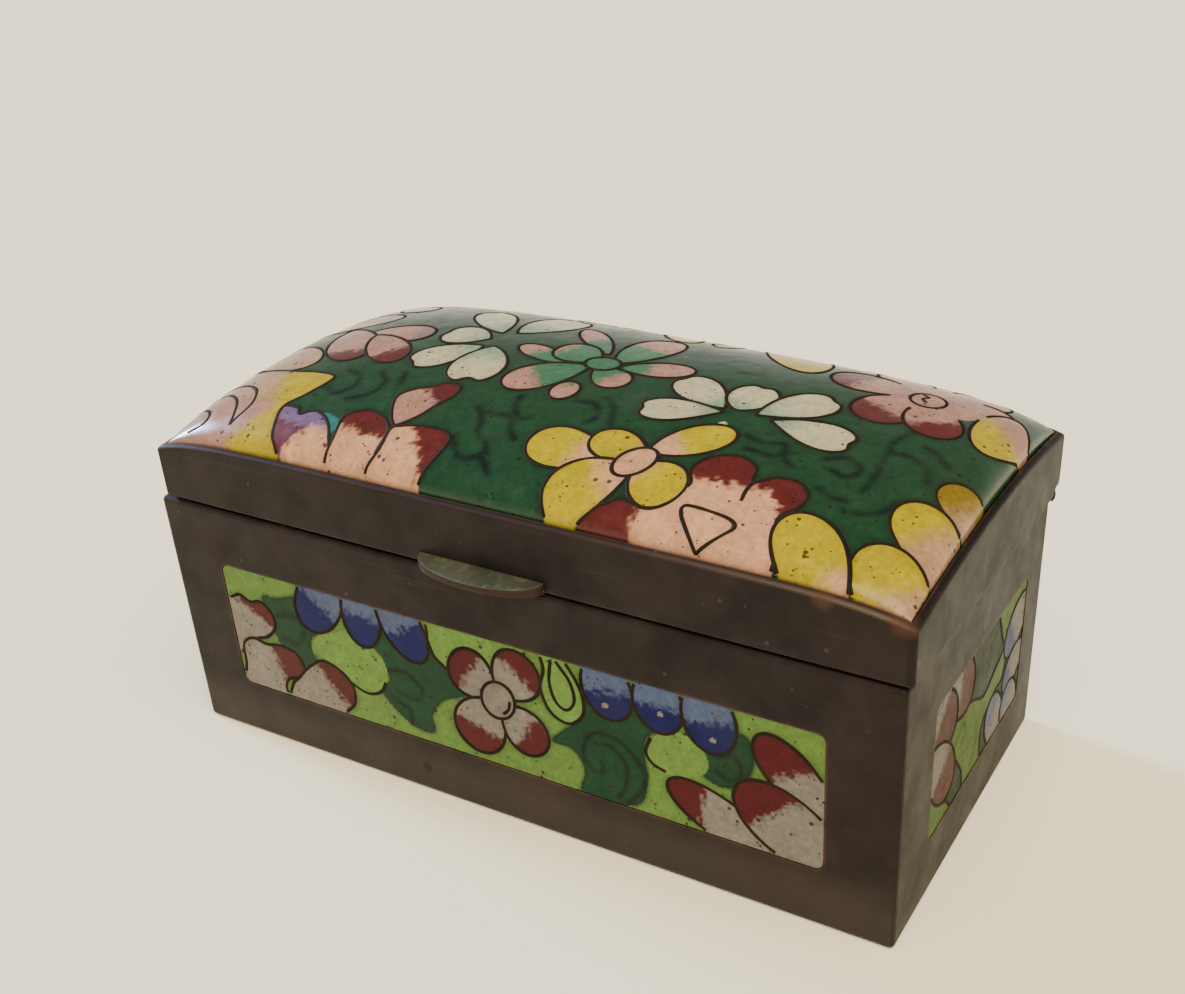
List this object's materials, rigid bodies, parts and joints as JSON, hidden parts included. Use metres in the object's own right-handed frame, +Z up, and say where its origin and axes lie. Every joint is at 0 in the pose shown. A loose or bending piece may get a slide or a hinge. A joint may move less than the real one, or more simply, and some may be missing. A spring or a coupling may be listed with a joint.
{
  "type": "cloisonne enamel box",
  "caption": "Small rectangular copper box with cloisonne enamel panels and a domed enamel lid that turns on a barrel hinge along the back.",
  "frame": {"origin": "on the surface that the box stands on, under the middle of the tray", "axes": "+Z up, -Y towards the front with the thumb tab, +X to the right along the hinge"},
  "size_m": [0.1006, 0.0535, 0.0501],
  "materials": {
    "copper": "dark brown patinated copper, worn redder on its edges",
    "panel_enamel": "glossy lime enamel with flowers between fine wires, slightly pitted",
    "lid_enamel": "glossy emerald enamel with flowers between fine wires, slightly pitted",
    "hinge_brass": "dull, darkened brass",
    "tab_brass": "dull olive brass, worn to copper red along its edge"
  },
  "bodies": {
    "box": {"tray": "copper", "front_enamel_panel": "panel_enamel", "right_enamel_panel": "panel_enamel", "back_enamel_panel": "panel_enamel", "left_enamel_panel": "panel_enamel", "hinge_leaf_box": "hinge_brass", "hinge_pin": "hinge_brass"},
    "lid": {"lid_shell": "copper", "lid_enamel": "lid_enamel", "thumb_tab": "tab_brass", "hinge_leaf_lid": "hinge_brass"}
  },
  "joints": [
    {"name": "lid_hinge", "type": "hinge", "parent": "box", "child": "lid", "pos_m": [0, 0.02465, 0.03315], "axis": [-1, 0, 0], "range_deg": [0, 95]}
  ]
}
